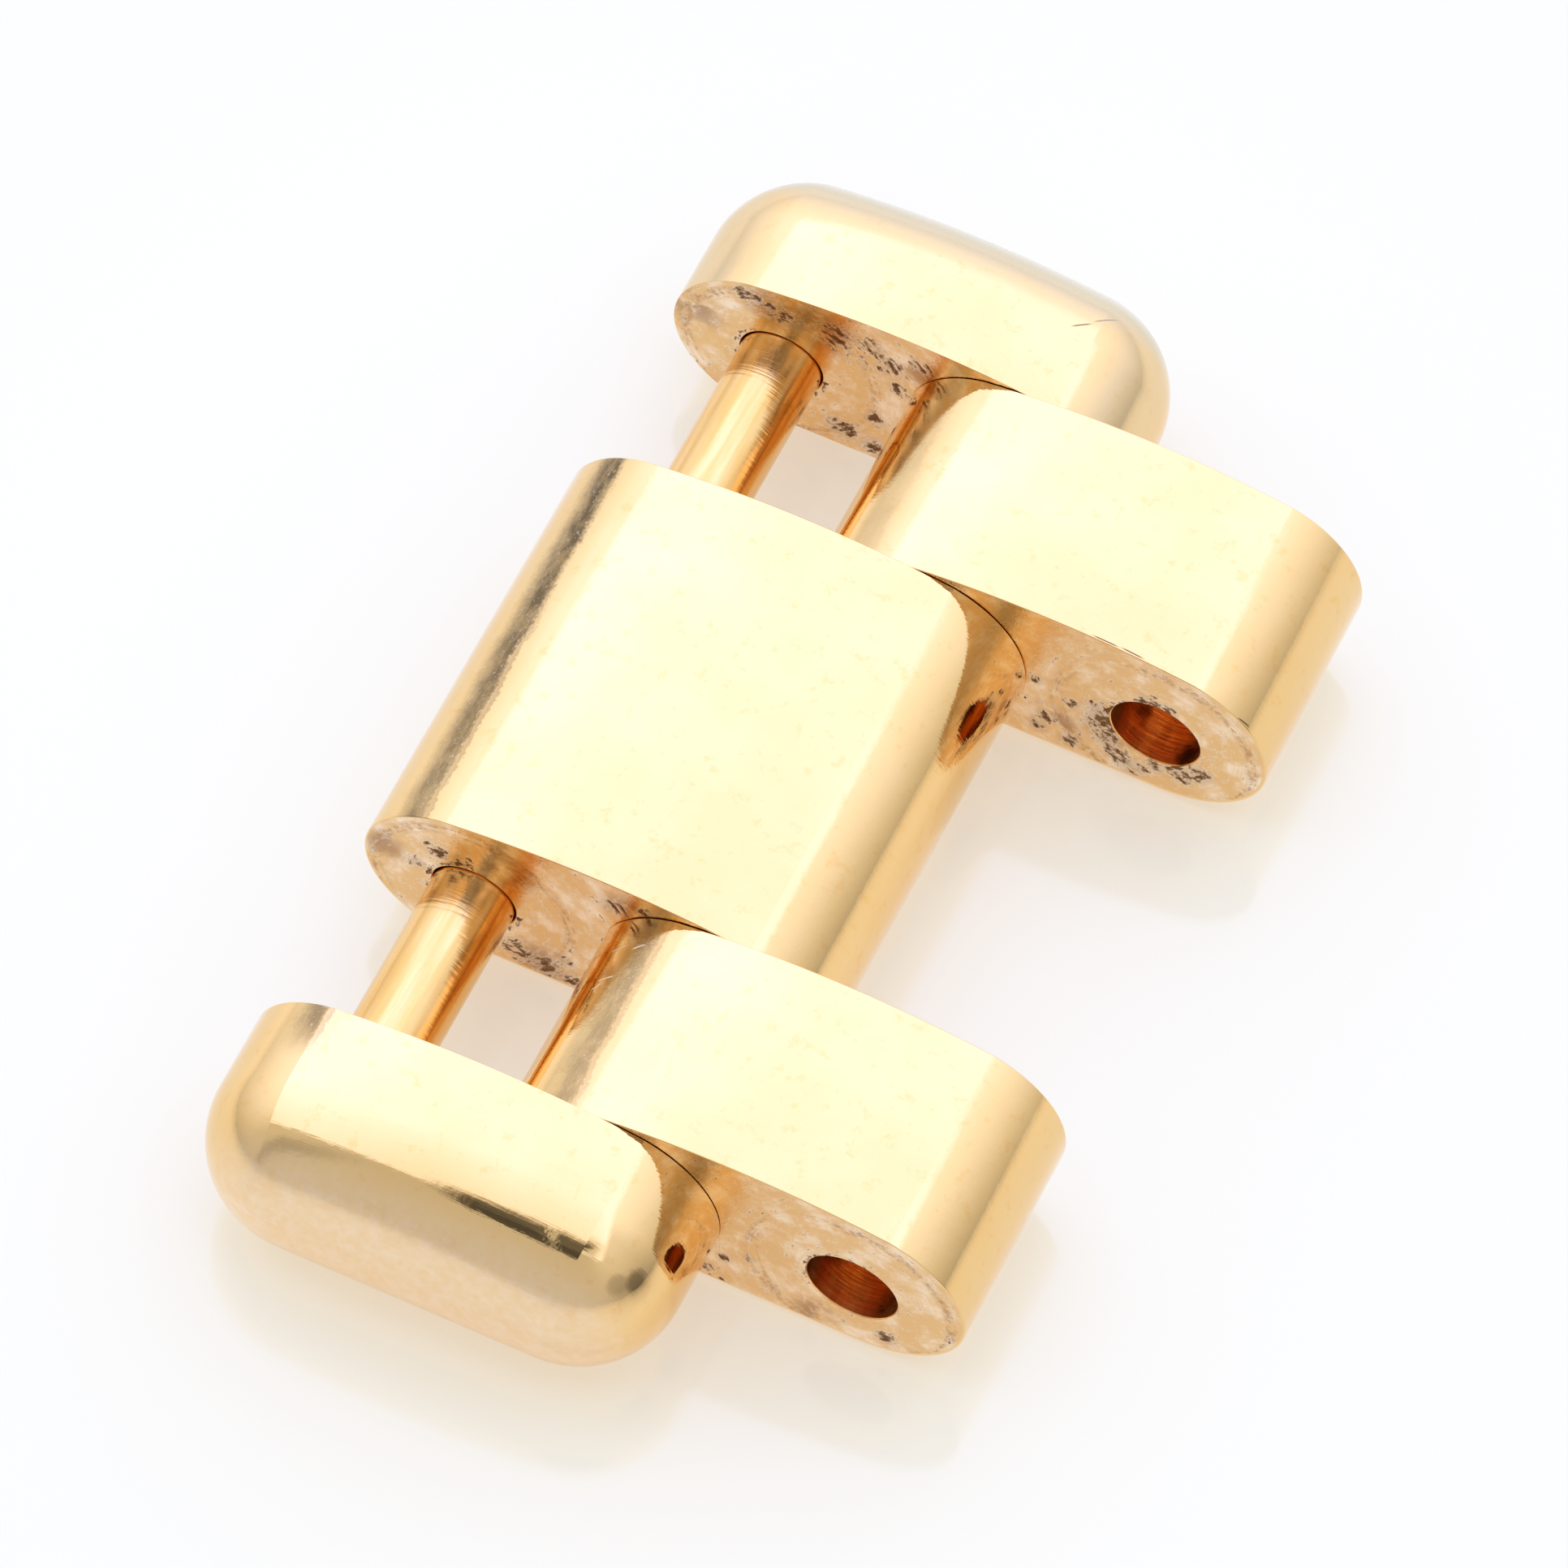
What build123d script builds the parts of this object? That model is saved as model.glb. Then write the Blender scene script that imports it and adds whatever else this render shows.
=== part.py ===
from build123d import *
import math
import os

os.makedirs("parts", exist_ok=True)

# Watch bracelet link: two rows of solid links side by side on a hinge pin, and a removable connecting pin.
# X runs along the bracelet, Y along the pins and Z up. The hinge pin's axis is at X = 0, the underside at Z = 0.

# Sizes in millimetres

# Side outline that every link shares
pin_spacing = 2.92
end_reach = 1.345
end_radius = 1.26
crease_angle = math.radians(15.8)
crown_angle = math.radians(10.15)
edge_break = 0.05

# Pins and bores
pin_drop = 0.08
pin_diameter = 1.0
running_clearance = 0.045
press_interference = 0.005
bore_mouth_break = 0.03
pin_end_chamfer = 0.1
hinge_pin_depth = 1.2
blind_end_room = 0.06

# Widths across the bracelet
centre_width = 5.19
intermediate_width = 2.58
outer_width = 2.13
side_clearance = 0.02
dome_land = 0.08

# Connecting pin: slotted head on the far side, thinner tail on the near side
head_diameter = 1.4
head_clearance = 0.04
head_recess_depth = 0.98
head_height = 0.62
head_edge = 0.08
slot_width = 0.24
slot_depth = 0.24
shank_entry = 0.3
shoulder_room = 0.03
shoulder_edge = 0.04
tail_diameter = 0.8
tail_clearance = 0.03
tail_length = 0.86
tail_chamfer = 0.08
tail_end_room = 0.12
relief_width = 0.12
relief_depth = 0.06

# Worked out from the sizes above
pin_radius = pin_diameter / 2
bore_radius = pin_radius + running_clearance
press_radius = pin_radius - press_interference
row_a_middle = -pin_spacing / 2
row_b_middle = pin_spacing / 2
centre_side = centre_width / 2
inner_side = centre_side + side_clearance
outer_side = inner_side + intermediate_width
cheek = outer_side + side_clearance
edge_of_bracelet = cheek + outer_width
pin_height = end_radius - pin_drop
end_centre = pin_spacing / 2 + end_reach - end_radius
crease_offset = end_centre + end_radius * math.sin(crease_angle)
crease_height = end_radius + end_radius * math.cos(crease_angle)
thickness = crease_height + crease_offset * math.tan(crown_angle / 2)
dome_radius = end_radius - dome_land


def draw_outline(middle):
    """One link's side outline in the open line sketch: round ends, crowned top, flat underside."""
    low_right = (middle + end_centre, 0)
    low_left = (middle - end_centre, 0)
    tip_right = (middle + end_centre + end_radius, end_radius)
    tip_left = (middle - end_centre - end_radius, end_radius)
    crease_right = (middle + crease_offset, crease_height)
    crease_left = (middle - crease_offset, crease_height)
    ThreePointArc(low_right, tip_right, crease_right)
    ThreePointArc(crease_right, (middle, thickness), crease_left)
    ThreePointArc(crease_left, tip_left, low_left)
    Line(low_left, low_right)


# Centre link, the wide one: tight on the hinge pin, free on the connecting pin
with BuildPart() as centre_link:
    with BuildSketch(Plane.XZ.offset(centre_side)):
        with BuildLine():
            draw_outline(row_a_middle)
        make_face()
    extrude(amount=-centre_width)
    rims = centre_link.faces().sort_by(Axis.Y)[0].outer_wire().edges()
    rims += centre_link.faces().sort_by(Axis.Y)[-1].outer_wire().edges()
    fillet(rims, edge_break)
    with BuildSketch(Plane.XZ.offset(centre_side)):
        with Locations((0, pin_height)):
            Circle(press_radius)
        with Locations((-pin_spacing, pin_height)):
            Circle(bore_radius)
    extrude(amount=-centre_width, mode=Mode.SUBTRACT)
    mouths = centre_link.faces().sort_by(Axis.Y)[0].inner_wires().edges()
    mouths += centre_link.faces().sort_by(Axis.Y)[-1].inner_wires().edges()
    chamfer(mouths, bore_mouth_break)
centre_link.part.label = "centre_link"
export_step(centre_link.part, "parts/centre_link.step")

# Far outer link: rounded outer side with the recess for the connecting pin's head, blind hole for the hinge pin
with BuildPart() as outer_link_far:
    with BuildSketch(Plane.XZ.offset(-cheek)):
        with BuildLine():
            draw_outline(row_a_middle)
        make_face()
    extrude(amount=-outer_width)
    fillet(outer_link_far.faces().sort_by(Axis.Y)[-1].outer_wire().edges(), dome_radius)
    with BuildSketch(Plane.XZ.offset(-cheek)):
        with Locations((0, pin_height)):
            Circle(press_radius)
    extrude(amount=-hinge_pin_depth - blind_end_room, mode=Mode.SUBTRACT)
    with BuildSketch(Plane.XZ.offset(-edge_of_bracelet - head_clearance)):
        with Locations((-pin_spacing, pin_height)):
            Circle(head_diameter / 2 + head_clearance)
    extrude(amount=head_recess_depth + head_clearance, mode=Mode.SUBTRACT)
    with BuildSketch(Plane.XZ.offset(-cheek)):
        with Locations((-pin_spacing, pin_height)):
            Circle(bore_radius)
    extrude(amount=-outer_width + head_recess_depth, mode=Mode.SUBTRACT)
    inner_face = outer_link_far.faces().filter_by(Axis.Y).sort_by(Axis.Y)[0]
    chamfer(inner_face.inner_wires().edges(), bore_mouth_break)
    inner_face = outer_link_far.faces().filter_by(Axis.Y).sort_by(Axis.Y)[0]
    chamfer(inner_face.outer_wire().edges(), edge_break)
outer_link_far.part.label = "outer_link_far"
export_step(outer_link_far.part, "parts/outer_link_far.step")

# Near outer link: rounded outer side with no opening, blind holes for the hinge pin and for the connecting pin's tail
with BuildPart() as outer_link_near:
    with BuildSketch(Plane.XZ.offset(edge_of_bracelet)):
        with BuildLine():
            draw_outline(row_a_middle)
        make_face()
    extrude(amount=-outer_width)
    fillet(outer_link_near.faces().sort_by(Axis.Y)[0].outer_wire().edges(), dome_radius)
    with BuildSketch(Plane.XZ.offset(cheek)):
        with Locations((0, pin_height)):
            Circle(press_radius)
    extrude(amount=hinge_pin_depth + blind_end_room, mode=Mode.SUBTRACT)
    with BuildSketch(Plane.XZ.offset(cheek)):
        with Locations((-pin_spacing, pin_height)):
            Circle(bore_radius)
    extrude(amount=shank_entry, mode=Mode.SUBTRACT)
    with BuildSketch(Plane.XZ.offset(cheek)):
        with Locations((-pin_spacing, pin_height)):
            Circle(tail_diameter / 2 + tail_clearance)
    extrude(amount=shank_entry - shoulder_room + tail_length + tail_end_room, mode=Mode.SUBTRACT)
    inner_face = outer_link_near.faces().filter_by(Axis.Y).sort_by(Axis.Y)[-1]
    chamfer(inner_face.inner_wires().edges(), bore_mouth_break)
    inner_face = outer_link_near.faces().filter_by(Axis.Y).sort_by(Axis.Y)[-1]
    chamfer(inner_face.outer_wire().edges(), edge_break)
outer_link_near.part.label = "outer_link_near"
export_step(outer_link_near.part, "parts/outer_link_near.step")

# Far intermediate link, half a link further along: swings on the hinge pin, its other bore waits for the next row
with BuildPart() as intermediate_link_far:
    with BuildSketch(Plane.XZ.offset(-inner_side)):
        with BuildLine():
            draw_outline(row_b_middle)
        make_face()
    extrude(amount=-intermediate_width)
    rims = intermediate_link_far.faces().sort_by(Axis.Y)[0].outer_wire().edges()
    rims += intermediate_link_far.faces().sort_by(Axis.Y)[-1].outer_wire().edges()
    fillet(rims, edge_break)
    with BuildSketch(Plane.XZ.offset(-inner_side)):
        with Locations((0, pin_height), (pin_spacing, pin_height)):
            Circle(bore_radius)
    extrude(amount=-intermediate_width, mode=Mode.SUBTRACT)
    mouths = intermediate_link_far.faces().sort_by(Axis.Y)[0].inner_wires().edges()
    mouths += intermediate_link_far.faces().sort_by(Axis.Y)[-1].inner_wires().edges()
    chamfer(mouths, bore_mouth_break)
intermediate_link_far.part.label = "intermediate_link_far"
export_step(intermediate_link_far.part, "parts/intermediate_link_far.step")

# Near intermediate link, the same form between the centre link and the near outer link
with BuildPart() as intermediate_link_near:
    with BuildSketch(Plane.XZ.offset(outer_side)):
        with BuildLine():
            draw_outline(row_b_middle)
        make_face()
    extrude(amount=-intermediate_width)
    rims = intermediate_link_near.faces().sort_by(Axis.Y)[0].outer_wire().edges()
    rims += intermediate_link_near.faces().sort_by(Axis.Y)[-1].outer_wire().edges()
    fillet(rims, edge_break)
    with BuildSketch(Plane.XZ.offset(outer_side)):
        with Locations((0, pin_height), (pin_spacing, pin_height)):
            Circle(bore_radius)
    extrude(amount=-intermediate_width, mode=Mode.SUBTRACT)
    mouths = intermediate_link_near.faces().sort_by(Axis.Y)[0].inner_wires().edges()
    mouths += intermediate_link_near.faces().sort_by(Axis.Y)[-1].inner_wires().edges()
    chamfer(mouths, bore_mouth_break)
intermediate_link_near.part.label = "intermediate_link_near"
export_step(intermediate_link_near.part, "parts/intermediate_link_near.step")

# Hinge pin: plain, pressed into the outer links and the centre link, the intermediate links turn on it
with BuildPart() as hinge_pin:
    with BuildSketch(Plane.XZ.offset(cheek + hinge_pin_depth)):
        with Locations((0, pin_height)):
            Circle(pin_radius)
    extrude(amount=-2 * (cheek + hinge_pin_depth))
    chamfer(hinge_pin.edges().filter_by(GeomType.CIRCLE), pin_end_chamfer)
hinge_pin.part.label = "hinge_pin"
export_step(hinge_pin.part, "parts/hinge_pin.step")

# Connecting pin, turned about its axis: head in the far recess, plain shank, relief and tail in the near hole
head_seat = edge_of_bracelet - head_recess_depth
head_top = head_seat + head_height
shoulder = -cheek - shank_entry + shoulder_room
tail_end = shoulder - tail_length
head_radius = head_diameter / 2
tail_radius = tail_diameter / 2
pin_axis = Plane(origin=(-pin_spacing, 0, pin_height), x_dir=(0, 1, 0), z_dir=(1, 0, 0))
with BuildPart() as connecting_pin:
    with BuildSketch(pin_axis):
        with BuildLine():
            Polyline(
                (head_top, 0),
                (head_top, head_radius - head_edge),
                (head_top - head_edge, head_radius),
                (head_seat, head_radius),
                (head_seat, pin_radius),
                (shoulder + shoulder_edge, pin_radius),
                (shoulder, pin_radius - shoulder_edge),
                (shoulder, tail_radius - relief_depth),
                (shoulder - relief_width, tail_radius - relief_depth),
                (shoulder - relief_width - relief_depth, tail_radius),
                (tail_end + tail_chamfer, tail_radius),
                (tail_end, tail_radius - tail_chamfer),
                (tail_end, 0),
                close=True,
            )
        make_face()
    revolve(axis=Axis((-pin_spacing, 0, pin_height), (0, 1, 0)))
    with BuildSketch(Plane.XZ.offset(-head_top)):
        with Locations((-pin_spacing, pin_height)):
            Rectangle(head_diameter, slot_width)
    extrude(amount=slot_depth, mode=Mode.SUBTRACT)
connecting_pin.part.label = "connecting_pin"
export_step(connecting_pin.part, "parts/connecting_pin.step")
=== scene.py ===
import math

import bmesh
import bpy
from mathutils import Euler, Matrix, Vector


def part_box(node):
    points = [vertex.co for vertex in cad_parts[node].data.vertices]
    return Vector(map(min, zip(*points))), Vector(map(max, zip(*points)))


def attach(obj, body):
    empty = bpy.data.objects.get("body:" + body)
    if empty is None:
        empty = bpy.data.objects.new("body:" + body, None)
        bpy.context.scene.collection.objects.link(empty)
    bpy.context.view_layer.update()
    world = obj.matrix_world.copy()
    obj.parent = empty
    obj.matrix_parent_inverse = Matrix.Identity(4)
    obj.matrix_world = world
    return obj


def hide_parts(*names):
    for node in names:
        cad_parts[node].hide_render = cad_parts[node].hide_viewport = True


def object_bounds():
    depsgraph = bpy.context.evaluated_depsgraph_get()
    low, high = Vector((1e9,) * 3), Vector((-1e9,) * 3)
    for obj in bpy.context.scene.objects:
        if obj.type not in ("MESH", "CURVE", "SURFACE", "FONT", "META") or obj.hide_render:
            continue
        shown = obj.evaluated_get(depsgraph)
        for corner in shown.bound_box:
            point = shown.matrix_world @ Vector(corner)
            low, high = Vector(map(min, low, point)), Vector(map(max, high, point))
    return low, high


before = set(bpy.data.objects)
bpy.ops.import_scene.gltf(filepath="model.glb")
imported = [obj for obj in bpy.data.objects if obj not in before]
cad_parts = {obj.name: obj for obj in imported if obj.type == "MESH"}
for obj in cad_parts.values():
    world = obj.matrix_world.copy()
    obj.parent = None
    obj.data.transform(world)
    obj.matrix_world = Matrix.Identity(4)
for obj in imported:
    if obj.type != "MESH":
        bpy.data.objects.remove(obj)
cad_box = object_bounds()

MM = 0.001

# Side outline of a link and the fits, in metres
end_radius = 1.26 * MM
crease_angle = math.radians(15.8)
edge_break = 0.05 * MM
inner_edge_break = 0.005 * MM
dome_land = 0.08 * MM
bore_mouth_break = 0.012 * MM
running_clearance = 0.045 * MM
pin_gap = 0.016 * MM
press_interference = 0.005 * MM
seam_take_up = 0.012 * MM

# Depths of the blind holes, and the connecting pin's steps
blind_end_room = 0.06 * MM
pin_end_chamfer = 0.1 * MM
head_clearance = 0.04 * MM
head_recess_depth = 0.98 * MM
head_height = 0.62 * MM
head_edge = 0.08 * MM
bore_overrun = 0.1 * MM
recess_overrun = 1 * MM
slot_width = 0.24 * MM
slot_depth = 0.24 * MM
shank_entry = 0.3 * MM
shoulder_room = 0.03 * MM
shoulder_edge = 0.04 * MM
tail_diameter = 0.8 * MM
tail_clearance = 0.03 * MM
tail_chamfer = 0.08 * MM
tail_end_room = 0.12 * MM
relief_width = 0.12 * MM
relief_depth = 0.06 * MM
thread_pitch = 0.2 * MM
thread_depth = 0.05 * MM

# Mesh steps
end_steps = 44
crown_steps = 20
flat_steps = 10
break_steps = 6
dome_steps = 30
crease_fade = 12
hole_steps = 96
thread_steps = 60
sharp_turn = math.radians(25)

# Places read from the frame
centre_low, centre_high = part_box("centre_link")
far_low, far_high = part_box("outer_link_far")
row_b_low, row_b_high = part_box("intermediate_link_far")
row_b_near_low, row_b_near_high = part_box("intermediate_link_near")
hinge_low, hinge_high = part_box("hinge_pin")
connect_low, connect_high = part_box("connecting_pin")

thickness = centre_high.z
row_a_middle = (centre_low.x + centre_high.x) / 2
row_b_middle = (row_b_low.x + row_b_high.x) / 2
end_centre = (centre_high.x - centre_low.x) / 2 - end_radius
pin_height = (hinge_low.z + hinge_high.z) / 2
pin_radius = (hinge_high.z - hinge_low.z) / 2
bore_radius = pin_radius + running_clearance
close_radius = pin_radius + pin_gap
press_radius = pin_radius - press_interference
head_radius = (connect_high.z - connect_low.z) / 2
cheek = far_low.y
edge_of_bracelet = far_high.y
dome_radius = end_radius - dome_land

crease_offset = end_centre + end_radius * math.sin(crease_angle)
crown_rise = thickness - end_radius - end_radius * math.cos(crease_angle)
crown_radius = (crease_offset ** 2 + crown_rise ** 2) / (2 * crown_rise)


class Wire:
    """A number or a vector inside a shader, which Python's operators combine with math nodes."""

    def __init__(self, tree, socket):
        self.tree = tree
        self.socket = socket

    def node(self, kind, **settings):
        return add_node(self.tree, kind, **settings)

    def math(self, operation, *others):
        made = self.node("ShaderNodeMath", operation=operation)
        self.tree.links.new(self.socket, made.inputs[0])
        for place, other in enumerate(others, 1):
            feed(self.tree, other, made.inputs[place])
        return Wire(self.tree, made.outputs[0])

    def __add__(self, other):
        return self.math("ADD", other)

    def __sub__(self, other):
        return self.math("SUBTRACT", other)

    def __mul__(self, other):
        return self.math("MULTIPLY", other)

    def __truediv__(self, other):
        return self.math("DIVIDE", other)

    __radd__ = __add__

    def __rsub__(self, other):
        return (self * -1) + other

    def at_least(self, other):
        return self.math("MAXIMUM", other)

    def at_most(self, other):
        return self.math("MINIMUM", other)

    def rise(self, low, high):
        """0 below low, 1 above high, smooth between. With high under low it falls instead."""
        made = self.node("ShaderNodeMapRange", interpolation_type="SMOOTHSTEP")
        self.tree.links.new(self.socket, made.inputs["Value"])
        flip = low > high
        made.inputs["From Min"].default_value = high if flip else low
        made.inputs["From Max"].default_value = low if flip else high
        made.inputs["To Min"].default_value = 1 if flip else 0
        made.inputs["To Max"].default_value = 0 if flip else 1
        return Wire(self.tree, made.outputs[0])


def add_node(tree, kind, **settings):
    made = tree.nodes.new(kind)
    for name, value in settings.items():
        setattr(made, name, value)
    return made


def feed(tree, value, socket):
    """Sets a socket to a number or colour, or links a wire to it."""
    if isinstance(value, Wire):
        tree.links.new(value.socket, socket)
    else:
        socket.default_value = value


def position(tree):
    """The place on the part, in millimetres, as three wires."""
    place = add_node(tree, "ShaderNodeTexCoord").outputs["Object"]
    split = add_node(tree, "ShaderNodeSeparateXYZ")
    tree.links.new(place, split.inputs[0])
    return [Wire(tree, split.outputs[axis]) * 1000 for axis in range(3)]


def combine(tree, x, y, z):
    made = add_node(tree, "ShaderNodeCombineXYZ")
    for socket, value in zip(made.inputs, (x, y, z)):
        feed(tree, value, socket)
    return Wire(tree, made.outputs[0])


def noise(tree, place, scale, detail, roughness=0.5):
    made = add_node(tree, "ShaderNodeTexNoise")
    feed(tree, place, made.inputs["Vector"])
    made.inputs["Scale"].default_value = scale
    made.inputs["Detail"].default_value = detail
    made.inputs["Roughness"].default_value = roughness
    return Wire(tree, made.outputs[0])


def mix_colour(tree, share, first, second):
    made = add_node(tree, "ShaderNodeMix", data_type="RGBA")
    feed(tree, share, made.inputs[0])
    feed(tree, first, made.inputs[6])
    feed(tree, second, made.inputs[7])
    return Wire(tree, made.outputs[2])


def bump(tree, height, relief):
    made = add_node(tree, "ShaderNodeBump")
    made.inputs["Strength"].default_value = 1.0
    made.inputs["Distance"].default_value = relief
    feed(tree, height, made.inputs["Height"])
    return Wire(tree, made.outputs[0])


def metal(name):
    """A new metal material: its tree and its shader."""
    made = bpy.data.materials.new(name)
    made.use_nodes = True
    shader = made.node_tree.nodes["Principled BSDF"]
    shader.inputs["Metallic"].default_value = 1.0
    return made, made.node_tree, shader


def largest(wires):
    """The largest of several wires at each point."""
    total = wires[0]
    for wire in wires[1:]:
        total = total.at_least(wire)
    return total


def distance(tree, flat, x, z):
    """How far a point of a side face is from the place at x and z, in millimetres."""
    made = add_node(tree, "ShaderNodeVectorMath", operation="DISTANCE")
    feed(tree, flat, made.inputs[0])
    made.inputs[1].default_value = (x, 0, z)
    return Wire(tree, made.outputs["Value"])


def spots(tree, flat, places):
    """1 in the middle of a spot, 0 outside them all. Each place is x, z and radius."""
    near = [distance(tree, flat, x, z).rise(radius * 1.5, radius * 0.3) for x, z, radius in places]
    return largest(near)


def scratch(x, y, start, stop):
    """1 along a fine straight mark between two places seen from above."""
    run = (stop[0] - start[0], stop[1] - start[1])
    length = math.hypot(*run)
    along = (x - start[0]) * (run[0] / length) + (y - start[1]) * (run[1] / length)
    aside = (x - start[0]) * (run[1] / length) - (y - start[1]) * (run[0] / length)
    on_line = aside.math("ABSOLUTE").rise(scratch_width, scratch_width * 0.3)
    return on_line * along.rise(0.0, length * 0.3) * along.rise(length, length * 0.7)


def scratched(x, y, places):
    """1 along any of the fine straight marks, each given by its two ends seen from above."""
    return largest([scratch(x, y, start, stop) for start, stop in places])


# Depth of each finish's relief, in metres, and half the width of a scratch, in millimetres
skin_relief = 0.0000016
lapped_relief = 0.000006
bore_relief = 0.000006
wire_relief = 0.0000025
scratch_width = 0.014

# Colours of the metal, its wear and its residue, its painted dark reflection, hazy glare, glints and
# sheen, and the white of its scratches
gold = (0.90, 0.60, 0.265, 1.0)
pale_gold = (0.91, 0.63, 0.30, 1.0)
deep_gold = (0.86, 0.50, 0.16, 1.0)
beige_gold = (0.85, 0.555, 0.265, 1.0)
matt_gold = (1.0, 0.83, 0.65, 1.0)
pink_gold = (1.0, 0.82, 0.66, 1.0)
bore_gold = (0.88, 0.42, 0.13, 1.0)
# Orange of a painted sheen in streaks along the bores
bore_painted_sheen = (1.0, 0.62, 0.24, 1.0)
brown_stain = (0.42, 0.22, 0.10, 1.0)
# Near black, for a dark reflection painted along the left ends
dark_reflection_gold = (0.075, 0.045, 0.020, 1.0)
# Grey and white of a hazy glare painted over the far dome
glare_grey_gold = (0.75, 0.65, 0.48, 1.0)
glare_white_gold = (1.0, 0.97, 0.88, 1.0)
burr_brown = (0.16, 0.08, 0.025, 1.0)
grime = (0.125, 0.048, 0.012, 1.0)
olive_grime = (0.22, 0.100, 0.020, 1.0)
purple_grime = (0.19, 0.078, 0.026, 1.0)
# White of painted glints, and of the bright scratches
glint_and_scratch_white = (1.0, 0.93, 0.82, 1.0)


def dark_reflection_band(tree, x, y, z, band_x):
    """The dull band along the left end at band_x painted with a dark reflection, the thin painted dark
    line beside it, and the flecks in both.
    """
    flecks = noise(tree, combine(tree, x * 26, y * 19, z * 26), 1.0, 5.0, 0.7)
    wander = noise(tree, combine(tree, 0.0, y * 1.5, 0.0), 1.0, 3.0)
    blotches = noise(tree, combine(tree, x * 6, y * 2.4, z * 6), 1.0, 4.0, 0.65)
    aside = x - band_x + y * 0.012 + flecks * 0.16 + wander * 0.16 - 0.16
    # Both lie on the upper half, end before the domes and are a little fainter on the near side
    shoulder = z.rise(1.5, 1.8) * y.math("ABSOLUTE").rise(6.0, 5.4) * (y.rise(-3.0, 1.5) * 0.25 + 0.75)
    band = aside.rise(-0.28, -0.02) * aside.rise(0.17, 0.05) * (blotches.rise(0.36, 0.60) * 0.3 + 0.7)
    line = (aside - 0.14).math("ABSOLUTE").rise(0.035, 0.01) * y.rise(1.0, -0.6)
    return band * shoulder, line * shoulder, flecks


def polished_gold(name, band_x, banded, glare_hazed, scratches=(), nicks=()):
    """Mirror-polished skin with faint clouds and hairlines, a dull band at band_x painted with a dark
    reflection and glints, and dull outer sides.

    banded is the band's strength and the argument after it that of the painted grey, hazy glare over the
    far dome.
    """
    made, tree, shader = metal(name)
    x, y, z = position(tree)
    place = combine(tree, x, y, z)
    clouds = noise(tree, place, 1.1, 3.0)
    tint = mix_colour(tree, clouds.rise(0.25, 0.8), gold, pale_gold)
    freckles = noise(tree, place, 5.0, 5.0, 0.65)
    tint = mix_colour(tree, freckles.rise(0.56, 0.68) * 0.4, tint, deep_gold)
    # A dark reflection and glints painted along the left end, on a band that is really duller and flecked
    band, line, flecks = dark_reflection_band(tree, x, y, z, band_x)
    tint = mix_colour(tree, band.at_least(line * 0.5) * banded, tint, dark_reflection_gold)
    glints = flecks.rise(0.58, 0.66) * band * banded
    tint = mix_colour(tree, glints * 0.45, tint, glint_and_scratch_white)
    smears = noise(tree, combine(tree, x * 0.6, y * 3.0, z * 0.6), 2.0, 4.0)
    rough = smears * 0.05 + 0.02 + band * (banded * 0.10)
    hairs = noise(tree, combine(tree, x * 2.0, y * 34.0, z * 2.0), 1.4, 2.0)
    pits = noise(tree, place, 9.0, 2.0)
    height = hairs * 0.4 + pits * 0.6 + flecks * band * (banded * 4.0)
    if scratches:
        white = scratched(x, y, scratches)
        tint = mix_colour(tree, white * 0.75, tint, glint_and_scratch_white)
        rough = rough + white * 0.5
    if nicks:
        tint = mix_colour(tree, scratched(x, y, nicks) * 0.9, tint, burr_brown)
    # The domes' outer sides are duller and finely mottled, and the far one is painted with a hazy grey
    # glare and a washed-out pale rim above
    aside_centre = y.math("ABSOLUTE")
    dull = aside_centre.rise(6.7, 7.35)
    mottle = noise(tree, place, 7.0, 3.0, 0.6)
    tint = mix_colour(tree, dull * (mottle.rise(0.30, 0.75) * 0.3 + 0.4), tint, pink_gold)
    # Painted glare: hazy grey over the far dome's upper outer side, washed out to white at its rim
    glare_veil = aside_centre.rise(6.3, 7.0).at_least(z.rise(2.5, 2.2) * 0.4) * z.rise(1.2, 1.9)
    tint = mix_colour(tree, glare_veil * glare_hazed, tint, glare_grey_gold)
    glare_rim = aside_centre.rise(6.85, 7.15) * z.rise(1.5, 1.95)
    tint = mix_colour(tree, glare_rim * (glare_hazed * 0.7), tint, glare_white_gold)
    rough = rough + dull * 0.2 + glare_veil * (glare_hazed * 0.12)
    height = height + mottle * dull * 1.2
    feed(tree, tint, shader.inputs["Base Color"])
    feed(tree, rough, shader.inputs["Roughness"])
    feed(tree, bump(tree, height, skin_relief), shader.inputs["Normal"])
    return made


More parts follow.
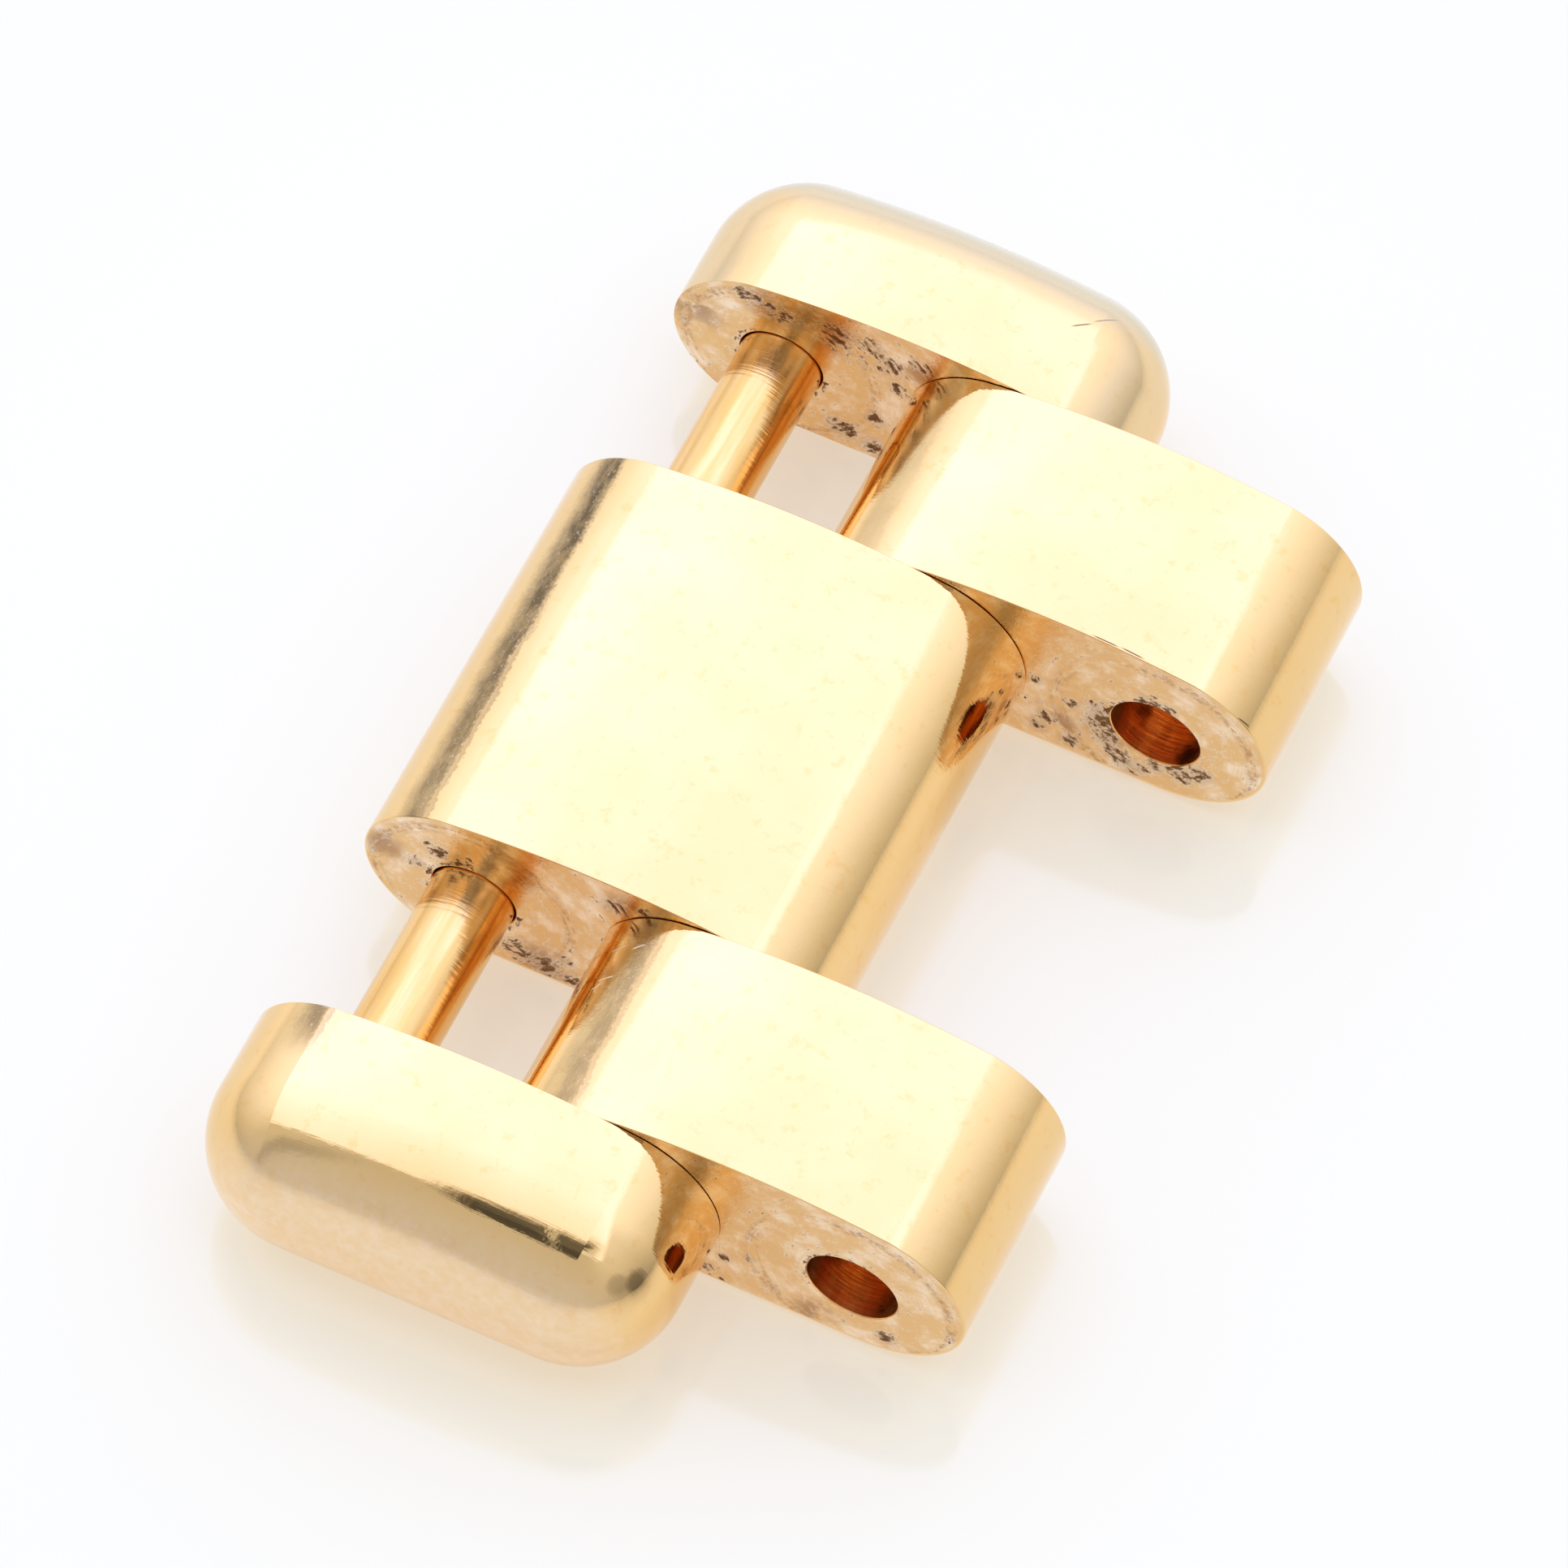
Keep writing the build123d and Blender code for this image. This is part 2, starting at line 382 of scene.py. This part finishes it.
def lapped(name, pin_x, dirty=(), stained=()):
    """A flat side face: lapped metal with rings round the pin at pin_x, dirty and stained in places."""
    made, tree, shader = metal(name)
    x, y, z = position(tree)
    place = combine(tree, x, y, z)
    flat = combine(tree, x, 0.0, z)
    clouds = noise(tree, place, 2.3, 5.0, 0.6)
    tint = mix_colour(tree, clouds.rise(0.43, 0.66), beige_gold, matt_gold)
    away = distance(tree, flat, pin_x, pin_height / MM)
    rings = noise(tree, combine(tree, away * 9.0, x * 0.8, z * 0.8), 1.0, 4.0, 0.6)
    tint = mix_colour(tree, rings.rise(0.40, 0.68) * 0.6, tint, beige_gold)
    rubbed = (away - 1.2).math("ABSOLUTE").rise(0.12, 0.02) * rings.rise(0.42, 0.55)
    specks = noise(tree, place, 13.0, 6.0, 0.66)
    tint = mix_colour(tree, rubbed * specks.rise(0.40, 0.62) * 0.75, tint, brown_stain)
    # Residue lies in strokes round the pin, close to its bore and at the dirty places, with painted glints
    # along its pale edges
    round_x = (x - pin_x) / away.at_least(0.05)
    round_z = (z - pin_height / MM) / away.at_least(0.05)
    strokes = noise(tree, combine(tree, away * 13.0, round_x * 5.5, round_z * 5.5), 1.0, 5.0, 0.62)
    smudge = (away - 0.57).math("ABSOLUTE").rise(0.07, 0.01) * rings.rise(0.40, 0.55)
    dirt = strokes * 0.6 + specks * 0.4 + smudge * 0.10
    if stained:
        brown = spots(tree, flat, stained) * noise(tree, place, 2.6, 4.0, 0.6).rise(0.34, 0.56)
        tint = mix_colour(tree, brown * 0.8, tint, brown_stain)
    if dirty:
        soiled = spots(tree, flat, dirty)
        dirt = dirt + soiled * 0.14
        tint = mix_colour(tree, soiled * clouds.rise(0.36, 0.56) * 0.5, tint, brown_stain)
    # Painted glints in a pale rim just outside the residue
    tint = mix_colour(tree, dirt.rise(0.53, 0.59) * 0.35, tint, glint_and_scratch_white)
    dirt = dirt.rise(0.575, 0.70)
    residue = mix_colour(tree, clouds.rise(0.42, 0.56), purple_grime, olive_grime)
    residue = mix_colour(tree, specks.rise(0.45, 0.60) * 0.6, residue, grime)
    feed(tree, mix_colour(tree, dirt, tint, residue), shader.inputs["Base Color"])
    feed(tree, dirt * 0.3 + specks * 0.08 + 0.11, shader.inputs["Roughness"])
    height = rings * 0.6 + specks * 0.8 - dirt * 0.5
    feed(tree, bump(tree, height, lapped_relief), shader.inputs["Normal"])
    return made


def bored():
    """Bore walls: drilled metal with a painted sheen in streaks along them, stained brown in places."""
    made, tree, shader = metal("bored_gold")
    x, y, z = position(tree)
    rings = noise(tree, combine(tree, x * 2.0, y * 22.0, z * 2.0), 1.0, 3.0)
    stains = noise(tree, combine(tree, x, y, z), 2.4, 3.0)
    # Painted sheen in streaks along the bore
    sheen_streaks = noise(tree, combine(tree, x * 5.0, y * 1.5, z * 5.0), 1.0, 3.0)
    tint = mix_colour(tree, sheen_streaks.rise(0.45, 0.65), bore_gold, bore_painted_sheen)
    tint = mix_colour(tree, stains.rise(0.52, 0.70) * 0.85, tint, grime)
    feed(tree, tint, shader.inputs["Base Color"])
    feed(tree, rings * 0.2 + 0.2, shader.inputs["Roughness"])
    feed(tree, bump(tree, rings, bore_relief), shader.inputs["Normal"])
    return made


def pin_gold():
    """Drawn and polished pin wire with fine marks round it."""
    made, tree, shader = metal("pin_gold")
    x, y, z = position(tree)
    rings = noise(tree, combine(tree, x * 1.5, y * 26.0, z * 1.5), 1.0, 3.0)
    streaks = noise(tree, combine(tree, x * 9.0, y * 0.8, z * 9.0), 1.0, 3.0)
    tint = mix_colour(tree, streaks.rise(0.3, 0.7), gold, deep_gold)
    feed(tree, tint, shader.inputs["Base Color"])
    feed(tree, rings * 0.07 + 0.14, shader.inputs["Roughness"])
    feed(tree, bump(tree, rings + streaks, wire_relief), shader.inputs["Normal"])
    return made


# Where each visible side face carries residue and stains, as x, z and radius in millimetres
far_dirt = (
    (-3.35, 2.25, 0.20), (-2.95, 2.15, 0.20), (-2.25, 2.15, 0.30), (-1.85, 2.20, 0.20),
    (-1.60, 1.95, 0.20), (-1.45, 1.60, 0.14), (-1.15, 2.25, 0.16), (-1.75, 0.80, 0.14),
    (-2.15, 0.36, 0.22), (-1.75, 0.22, 0.20),
)
far_stains = ((-2.35, 2.15, 0.40), (-3.05, 2.20, 0.35), (-4.00, 1.60, 0.35), (-1.20, 2.10, 0.25))
centre_dirt = (
    (-3.35, 1.82, 0.18), (-3.05, 1.78, 0.16), (-3.62, 1.40, 0.12), (-1.15, 2.22, 0.16),
    (-0.85, 2.35, 0.12), (-2.35, 0.42, 0.24), (-2.05, 0.34, 0.26), (-1.72, 0.30, 0.18),
    (-1.82, 0.62, 0.12),
)
centre_stains = ((-1.05, 2.25, 0.30), (-2.45, 2.00, 0.30), (-4.00, 1.50, 0.25), (-2.05, 0.40, 0.35))
b_far_dirt = (
    (2.24, 1.22, 0.20), (2.28, 0.98, 0.26), (2.34, 0.72, 0.22), (2.46, 0.45, 0.18), (2.66, 0.32, 0.22),
    (2.95, 0.52, 0.14), (3.22, 0.58, 0.22), (3.48, 0.72, 0.18), (2.80, 1.78, 0.14), (3.05, 1.76, 0.12),
    (1.60, 0.62, 0.14), (1.50, 0.40, 0.12), (1.90, 0.32, 0.14), (1.90, 1.10, 0.12), (1.46, 1.30, 0.10),
)
b_far_stains = ((1.70, 0.60, 0.30), (2.40, 0.90, 0.35))
b_near_dirt = (
    (1.40, 0.65, 0.10), (1.70, 0.85, 0.08), (1.35, 0.10, 0.12), (1.20, 0.30, 0.10), (3.35, 0.40, 0.14),
)
b_near_stains = ((2.50, 0.30, 0.25),)

# Bright scratches on the near intermediate link and dark nicks on the far rims, as two ends in x and y
b_near_scratches = (
    ((-1.03, -3.08), (-0.83, -2.97)), ((-0.79, -3.05), (-0.64, -2.95)),
    ((-1.01, -3.49), (-0.79, -3.41)), ((-1.01, -3.62), (-0.89, -3.50)),
)
far_nicks = (((0.12, 6.26), (0.34, 6.46)), ((0.30, 6.46), (0.55, 6.74)))
b_far_nicks = (((2.05, 2.63), (2.45, 2.63)), ((2.40, 2.64), (2.75, 2.63)), ((3.86, 2.62), (4.02, 2.66)))

# Places of the bands painted with a dark reflection, and of the rings' middles along X, in millimetres
band_a = row_a_middle / MM - 2.21
band_b = row_b_middle / MM - 2.12
pin_a = 2 * row_a_middle / MM
pin_b = 2 * row_b_middle / MM
skin_far = polished_gold("polished_gold_far", band_a, 0.1, 1.0, nicks=far_nicks)
skin_centre = polished_gold("polished_gold_centre", band_a, 0.9, 0.0)
skin_near = polished_gold("polished_gold_near", band_a + 0.16, 0.9, 0.0)
skin_b_far = polished_gold("polished_gold_b_far", band_b, 0.2, 0.0, nicks=b_far_nicks)
skin_b_near = polished_gold("polished_gold_b_near", band_b, 0.7, 0.0, b_near_scratches)
side_far = lapped("lapped_gold_far", pin_a, far_dirt, far_stains)
side_centre = lapped("lapped_gold_centre", pin_a, centre_dirt, centre_stains)
side_near = lapped("lapped_gold_near", pin_a)
side_b_far = lapped("lapped_gold_b_far", pin_b, b_far_dirt, b_far_stains)
side_b_near = lapped("lapped_gold_b_near", pin_b, b_near_dirt, b_near_stains)
bore = bored()
wire_gold = pin_gold()

# The side outline's construction and its columns of points
crown_base = thickness - crown_radius
crown_drop = end_radius - crown_base
crown_span = math.hypot(end_centre, crown_drop)
crown_lean = math.atan2(end_centre, crown_drop)
columns = 2 * end_steps + crown_steps + flat_steps
right_crease = end_steps
left_crease = end_steps + crown_steps


def outline_point(column, inset):
    """A point of the side outline drawn in by inset. Columns run from the right end's foot upwards."""
    end_arc = end_radius - inset
    crown_arc = crown_radius - inset
    cosine = (crown_arc ** 2 + crown_span ** 2 - end_arc ** 2) / (2 * crown_arc * crown_span)
    crown_half = crown_lean + math.acos(min(1.0, cosine))
    crease_x = crown_arc * math.sin(crown_half)
    crease_z = crown_base + crown_arc * math.cos(crown_half)
    end_top = math.atan2(crease_z - end_radius, crease_x - end_centre)
    if column < end_steps:
        turn = -math.pi / 2 + (end_top + math.pi / 2) * column / end_steps
        return end_centre + end_arc * math.cos(turn), end_radius + end_arc * math.sin(turn)
    column -= end_steps
    if column < crown_steps:
        turn = crown_half * (1 - 2 * column / crown_steps)
        return crown_arc * math.sin(turn), crown_base + crown_arc * math.cos(turn)
    column -= crown_steps
    if column < end_steps:
        turn = end_top - (end_top + math.pi / 2) * column / end_steps
        return -end_centre - end_arc * math.cos(turn), end_radius + end_arc * math.sin(turn)
    column -= end_steps
    return -end_centre + 2 * end_centre * column / flat_steps, inset


def rim_radius(column):
    """The rim's rounding: slight along the crown, wider the lower it lies."""
    height = outline_point(column, 0.0)[1] / thickness
    return edge_break * (0.25 + 2.5 * (1 - height) ** 3)


rim_radii = [rim_radius(column) for column in range(columns)]
inner_rim_radii = [inner_edge_break] * columns


def rolled_rings(mesh, middle, face, inward, radii, steps):
    """Rings of a rolled edge, from the flat face outwards. radii holds a radius for each column."""
    rings = []
    for step in range(steps + 1):
        turn = math.pi / 2 * step / steps
        ring = []
        for column, radius in enumerate(radii):
            x, z = outline_point(column, radius * (1 - math.sin(turn)))
            along = face + inward * radius * (1 - math.cos(turn))
            ring.append(mesh.verts.new((middle + x, along, z)))
        rings.append(ring)
    return rings


def skin_rings(mesh, rings, material, sharp_columns=()):
    """Quads between neighbouring rings of as many points."""
    faces = []
    for first, second in zip(rings, rings[1:]):
        count = len(first)
        for place in range(count):
            after = (place + 1) % count
            face = mesh.faces.new((first[place], first[after], second[after], second[place]))
            face.material_index = material
            face.smooth = True
            faces.append(face)
        for column in sharp_columns:
            mesh.edges.get((first[column], second[column])).smooth = False
    return faces


def circle(mesh, x, along, radius):
    ring = []
    for step in range(hole_steps):
        turn = 2 * math.pi * step / hole_steps
        point = (x + radius * math.cos(turn), along, pin_height + radius * math.sin(turn))
        ring.append(mesh.verts.new(point))
    return ring


def ring_edges(mesh, ring):
    found = []
    for place, first in enumerate(ring):
        second = ring[(place + 1) % len(ring)]
        edge = mesh.edges.get((first, second)) or mesh.edges.new((first, second))
        edge.smooth = False
        found.append(edge)
    return found


def flat_face(mesh, loops, material):
    """Fills the flat between an outline and its holes."""
    edges = [edge for loop in loops for edge in ring_edges(mesh, loop)]
    made = bmesh.ops.triangle_fill(mesh, use_beauty=True, edges=edges)
    for item in made["geom"]:
        if isinstance(item, bmesh.types.BMFace):
            item.material_index = material


def make_hole(mesh, x, profile, material):
    """A round hole from its profile, pairs of place along Y and radius. Gives its first and last ring."""
    rings = [circle(mesh, x, along, radius) for along, radius in profile]
    skin_rings(mesh, rings, material)
    for ring in rings:
        ring_edges(mesh, ring)
    return rings[0], rings[-1]


def finish_mesh(mesh, name, materials):
    bmesh.ops.remove_doubles(mesh, verts=mesh.verts, dist=1e-9)
    bmesh.ops.recalc_face_normals(mesh, faces=mesh.faces)
    data = bpy.data.meshes.new(name)
    mesh.to_mesh(data)
    mesh.free()
    made = bpy.data.objects.new(name, data)
    bpy.context.scene.collection.objects.link(made)
    for material in materials:
        data.materials.append(material)
    return made


def link_with_two_bores(name, middle, low, high, bores, skin, side):
    """A link with flat lapped sides. bores holds each bore's place along X and its radius."""
    mesh = bmesh.new()
    rings = rolled_rings(mesh, middle, low, 1, rim_radii, break_steps)
    rings += rolled_rings(mesh, middle, high, -1, rim_radii, break_steps)[::-1]
    skin_rings(mesh, rings, 0, (right_crease,))
    low_loops = [rings[0]]
    high_loops = [rings[-1]]
    for x, radius in bores:
        profile = [(low, radius + bore_mouth_break), (low + bore_mouth_break, radius)]
        profile += [(high - bore_mouth_break, radius), (high, radius + bore_mouth_break)]
        first, last = make_hole(mesh, x, profile, 2)
        low_loops.append(first)
        high_loops.append(last)
    flat_face(mesh, low_loops, 1)
    flat_face(mesh, high_loops, 1)
    return finish_mesh(mesh, name, (skin, side, bore))


def outer_link(name, inner, outer, holes, skin, side, creases):
    """A link with a rolled dome outside. holes holds each blind hole's place along X and profile."""
    mesh = bmesh.new()
    inward = 1 if outer > inner else -1
    rings = rolled_rings(mesh, row_a_middle, inner, inward, inner_rim_radii, break_steps)
    dome_radii = [dome_radius] * columns
    dome = rolled_rings(mesh, row_a_middle, outer, -inward, dome_radii, dome_steps)[::-1]
    # The creases end part way round the dome
    skin_rings(mesh, rings + dome[:crease_fade], 0, creases)
    skin_rings(mesh, dome[crease_fade - 1:], 0)
    rings += dome
    loops = [rings[0]]
    for x, profile in holes:
        first, last = make_hole(mesh, x, profile, 2)
        mesh.faces.new(last).material_index = 2
        loops.append(first)
    flat_face(mesh, loops, 1)
    mesh.faces.new(rings[-1]).smooth = True
    return finish_mesh(mesh, name, (skin, side, bore))


def blind_hole(face, inward, radius, depth):
    return [
        (face, radius + bore_mouth_break),
        (face + inward * bore_mouth_break, radius),
        (face + inward * depth, radius),
    ]


def cut(piece, cutter):
    """Takes the cutter's shape out of the piece."""
    modifier = piece.modifiers.new("cut", "BOOLEAN")
    modifier.operation = "DIFFERENCE"
    modifier.solver = "EXACT"
    modifier.object = cutter
    bpy.context.view_layer.update()
    shaped = piece.evaluated_get(bpy.context.evaluated_depsgraph_get())
    data = bpy.data.meshes.new_from_object(shaped)
    piece.modifiers.clear()
    piece.data = data
    bpy.data.objects.remove(cutter)


def mark_sharp(piece):
    """Splits the shading at every edge that turns by more than sharp_turn."""
    mesh = bmesh.new()
    mesh.from_mesh(piece.data)
    for edge in mesh.edges:
        if len(edge.link_faces) == 2 and edge.calc_face_angle() > sharp_turn:
            edge.smooth = False
    mesh.to_mesh(piece.data)
    mesh.free()


def turned(name, x, profile, material, thread=None):
    """A turned piece about a line along Y: profile holds pairs of place along Y and radius."""
    mesh = bmesh.new()
    rings = [circle(mesh, x, along, radius) for along, radius in profile]
    if thread:
        cut_thread(rings, x, thread)
    skin_rings(mesh, rings, 0)
    mesh.faces.new(rings[0])
    mesh.faces.new(rings[-1])
    return finish_mesh(mesh, name, (material,))


def cut_thread(rings, x, thread):
    """Draws the rings between thread's two ends in and out along a helix."""
    start, stop = thread
    for ring in rings:
        along = ring[0].co.y
        if start <= along <= stop:
            fade = min(1.0, (along - start) / thread_pitch, (stop - along) / thread_pitch)
            for step, vert in enumerate(ring):
                phase = (along / thread_pitch + step / hole_steps) % 1.0
                depth = thread_depth * fade * min(1.0, 2.4 * min(phase, 1 - phase))
                radius = Vector((vert.co.x - x, 0, vert.co.z - pin_height))
                vert.co -= radius.normalized() * depth


def make_connecting_pin():
    head_seat = edge_of_bracelet - head_recess_depth
    head_top = head_seat + head_height
    shoulder = -cheek - shank_entry + shoulder_room
    tail_end = connect_low.y
    tail_radius = tail_diameter / 2
    neck = shoulder - relief_width
    profile = [(tail_end, tail_radius - tail_chamfer), (tail_end + tail_chamfer, tail_radius)]
    thread_start = tail_end + tail_chamfer
    thread_end = neck - relief_depth
    for step in range(1, thread_steps):
        profile.append((thread_start + (thread_end - thread_start) * step / thread_steps, tail_radius))
    profile += [
        (thread_end, tail_radius),
        (neck, tail_radius - relief_depth),
        (shoulder, tail_radius - relief_depth),
        (shoulder, pin_radius - shoulder_edge),
        (shoulder + shoulder_edge, pin_radius),
        (head_seat, pin_radius),
        (head_seat, head_radius),
        (head_top - head_edge, head_radius),
        (head_top, head_radius - head_edge),
    ]
    x = 2 * row_a_middle
    made = turned("connecting_pin_finished", x, profile, wire_gold, (thread_start, thread_end))
    slot_length = 2.4 * head_radius
    place = Vector((x, head_top, pin_height))
    cut(made, block("slot_cutter", place, (slot_length, 2 * slot_depth, slot_width)))
    mark_sharp(made)
    return made


def block(name, centre, size):
    mesh = bmesh.new()
    place = Matrix.Translation(centre) @ Matrix.Diagonal((*size, 1.0))
    bmesh.ops.create_cube(mesh, size=1.0, matrix=place)
    return finish_mesh(mesh, name, ())


def make_hinge_pin():
    low, high = hinge_low.y, hinge_high.y
    profile = [
        (low, pin_radius - pin_end_chamfer),
        (low + pin_end_chamfer, pin_radius),
        (high - pin_end_chamfer, pin_radius),
        (high, pin_radius - pin_end_chamfer),
    ]
    made = turned("hinge_pin_finished", 0.0, profile, wire_gold)
    mark_sharp(made)
    return made


def make_outer_far():
    hinge_depth = hinge_high.y - cheek + blind_end_room
    seat = edge_of_bracelet - head_recess_depth
    bore_depth = seat - cheek + bore_overrun
    holes = [
        (0.0, blind_hole(cheek, 1, press_radius, hinge_depth)),
        (2 * row_a_middle, blind_hole(cheek, 1, close_radius, bore_depth)),
    ]
    made = outer_link(
        "outer_link_far_finished", cheek, edge_of_bracelet, holes, skin_far, side_far, (right_crease,)
    )
    recess_radius = head_radius + head_clearance
    recess = [(seat, recess_radius), (edge_of_bracelet + recess_overrun, recess_radius)]
    cut(made, turned("recess_cutter", 2 * row_a_middle, recess, bore))
    mark_sharp(made)
    return made


def make_outer_near():
    hinge_depth = -cheek - hinge_low.y + blind_end_room
    entry = -cheek - shank_entry
    tail_bore = tail_diameter / 2 + tail_clearance
    bottom = connect_low.y - tail_end_room
    stepped = [
        (-cheek, bore_radius + bore_mouth_break),
        (-cheek - bore_mouth_break, bore_radius),
        (entry, bore_radius),
        (entry, tail_bore),
        (bottom, tail_bore),
    ]
    holes = [
        (0.0, blind_hole(-cheek, -1, press_radius, hinge_depth)),
        (2 * row_a_middle, stepped),
    ]
    return outer_link(
        "outer_link_near_finished", -cheek, -edge_of_bracelet, holes, skin_near, side_near,
        (right_crease, left_crease),
    )


def put(piece, node, body):
    """Gives a finished piece its body and hides the node that it stands for."""
    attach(piece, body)
    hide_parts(node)


a_bores = ((0.0, press_radius), (2 * row_a_middle, close_radius))
b_bores = ((0.0, bore_radius), (2 * row_b_middle, bore_radius))
row = "outer_and_centre_row"
centre_link = link_with_two_bores(
    "centre_link_finished", row_a_middle, centre_low.y, centre_high.y, a_bores, skin_centre, side_centre
)
far_link = link_with_two_bores(
    "intermediate_link_far_finished", row_b_middle, row_b_low.y - seam_take_up,
    row_b_high.y + seam_take_up, b_bores, skin_b_far, side_b_far,
)
near_link = link_with_two_bores(
    "intermediate_link_near_finished", row_b_middle, row_b_near_low.y - seam_take_up,
    row_b_near_high.y + seam_take_up, b_bores, skin_b_near, side_b_near,
)
put(centre_link, "centre_link", row)
put(make_outer_far(), "outer_link_far", row)
put(make_outer_near(), "outer_link_near", row)
put(make_hinge_pin(), "hinge_pin", row)
put(far_link, "intermediate_link_far", "far_intermediate")
put(near_link, "intermediate_link_near", "near_intermediate")
put(make_connecting_pin(), "connecting_pin", "removable_pin")

# Stage: floor, light tent and camera

floor_side = 4.0
floor_roughness = 0.10
floor_ior = 1.58
floor_colour = (0.275, 0.40, 0.375, 1.0)
floor_lift = (0.63, 0.49, 0.39, 1.0)
camera_azimuth = math.radians(24.19)
camera_elevation = math.radians(58.60)
camera_roll = math.radians(1.67)
camera_target = Vector((-0.481, 0.199, 1.2)) * MM
camera_distance = 144.93 * MM
sensor_width = 36.0
focal_length = 301.54


def shown_rays(tree, off_metal):
    """1 for rays from the camera and through glass, off_metal for reflected ones, 0 for the rest."""
    path = add_node(tree, "ShaderNodeLightPath")
    seen = Wire(tree, path.outputs["Is Camera Ray"])
    glossy = Wire(tree, path.outputs["Is Glossy Ray"])
    through = Wire(tree, path.outputs["Is Transmission Ray"])
    return seen.at_least(through).at_least(glossy * off_metal)


def make_floor():
    mesh = bmesh.new()
    bmesh.ops.create_grid(mesh, x_segments=4, y_segments=4, size=floor_side / 2)
    material = bpy.data.materials.new("white_floor")
    material.use_nodes = True
    tree = material.node_tree
    shader = tree.nodes["Principled BSDF"]
    shader.inputs["Base Color"].default_value = floor_colour
    shader.inputs["Roughness"].default_value = floor_roughness
    shader.inputs["IOR"].default_value = floor_ior
    shader.inputs["Emission Color"].default_value = floor_lift
    x, y = position(tree)[:2]
    # Metal sees the floor fade gently from the part outwards, which keeps the horizon in it soft
    beside_x = (x.math("ABSOLUTE") - cad_box[1].x / MM).at_least(0)
    beside_y = (y.math("ABSOLUTE") - cad_box[1].y / MM).at_least(0)
    beside = (beside_x * beside_x + beside_y * beside_y).math("SQRT")
    in_metal = 1 - beside / (beside + 12) * 0.45
    away = (x * x + y * y).math("SQRT")
    shown = shown_rays(tree, in_metal) * (1 - away.rise(8, 50) * 0.45)
    feed(tree, shown, shader.inputs["Emission Strength"])
    floor = finish_mesh(mesh, "floor", (material,))


def wall_light(sideways, forward, z):
    """The walls: brightest beyond and to the left, brighter upwards except on the near side."""
    near = forward.rise(-0.2, -0.9)
    ahead = (forward * 0.94 - sideways * 0.34).at_least(-0.25)
    wall = ahead * 0.40 + 0.58 + near * 0.18 - sideways.rise(0.8, 1.0) * 0.08
    return wall + z * (1 - near) * (0.85 - z * 0.2)


def window_opening(across, along, z):
    """1 in the window overhead. Its near and side edges are sharp."""
    opening = along.rise(-0.57, -0.52) * across.rise(-0.80, -0.67) * z.rise(0.44, 0.72)
    return opening * (across + along * 0.35).rise(0.78, 0.58)


def dark_strip(across, along):
    """1 in a dark strip at the window's near edge, with a fainter notch across it."""
    strip = across.rise(-0.28, -0.14) * across.rise(0.60, 0.40)
    strip = strip * (along + across * 0.5).rise(-0.86, -0.78)
    strip = strip * (along - across.at_most(0.12) * 0.5).rise(-0.26, -0.42)
    strip = strip * (along - (across - 0.12).at_least(0)).rise(-0.78, -0.70)
    return strip * (1 - (across - 0.042).math("ABSOLUTE").rise(0.014, 0.003) * 0.6)


def make_tent():
    """The world: a broad cool window overhead, pale walls round it, brighter beyond."""
    world = bpy.data.worlds.new("light_tent")
    bpy.context.scene.world = world
    world.use_nodes = True
    tree = world.node_tree
    direction = add_node(tree, "ShaderNodeTexCoord").outputs["Generated"]
    split = add_node(tree, "ShaderNodeSeparateXYZ")
    tree.links.new(direction, split.inputs[0])
    x, y, z = [Wire(tree, split.outputs[axis]) for axis in range(3)]
    flat = (x * x + y * y).math("SQRT").at_least(0.02)
    sideways = x / flat
    forward = y / flat
    wall = wall_light(sideways, forward, z)
    # across and along are a direction's x and y per step up. The window is brighter beyond and aside
    up = z.at_least(0.02)
    across = x / up
    along = y / up
    aside = across.at_least(-0.5)
    window = 1.34 + aside * aside * 0.4 + along.at_most(0.6) * 0.35 + across.rise(-0.35, -0.62) * 0.05
    light = wall + (window - wall) * window_opening(across, along, z)
    # Dark patches: the strip, a fainter block beside it, two low ones to the right, a streak near left
    strip = dark_strip(across, along)
    block = across.rise(0.1, 0.3) * across.rise(0.9, 0.5)
    block = block * along.rise(-0.65, -0.40) * along.rise(-0.05, -0.30)
    low_patch = (x * 0.985 - y * 0.138 + z * 0.105).rise(0.970, 0.996)
    side_patch = (x * 0.868 - y * 0.423 + z * 0.259).rise(0.970, 0.996)
    streak = (forward * 0.588 - sideways * 0.809).math("ABSOLUTE").rise(0.14, 0.02)
    streak = streak * forward.rise(0.0, -0.3) * z.rise(0.02, 0.15) * z.rise(0.85, 0.6)
    light = light * (1 - strip * 0.87) * (1 - block * 0.4)
    light = light * (1 - low_patch * 0.6) * (1 - side_patch * 0.3) * (1 - streak * 0.3)
    # Bright light is cool: it gets a little more green and much more blue
    cool = light.rise(0.7, 1.10)
    green = light * (1 + cool * 0.06)
    blue = light * (1 + cool * 0.25 + light.rise(1.1, 1.8) * 0.45)
    background = tree.nodes["Background"]
    feed(tree, combine(tree, light, green, blue), background.inputs["Color"])


def make_camera():
    data = bpy.data.cameras.new("camera")
    data.sensor_width = sensor_width
    data.lens = focal_length
    data.clip_start = 0.01
    data.clip_end = 20.0
    camera = bpy.data.objects.new("camera", data)
    bpy.context.scene.collection.objects.link(camera)
    tilt = Euler((math.pi / 2 - camera_elevation, 0, camera_azimuth)).to_matrix().to_4x4()
    turn = tilt @ Matrix.Rotation(camera_roll, 4, "Z")
    back = turn.to_3x3() @ Vector((0, 0, 1))
    camera.matrix_world = Matrix.Translation(camera_target + back * camera_distance) @ turn
    bpy.context.scene.camera = camera


make_floor()
make_tent()
make_camera()
bpy.context.scene.view_settings.view_transform = "Standard"
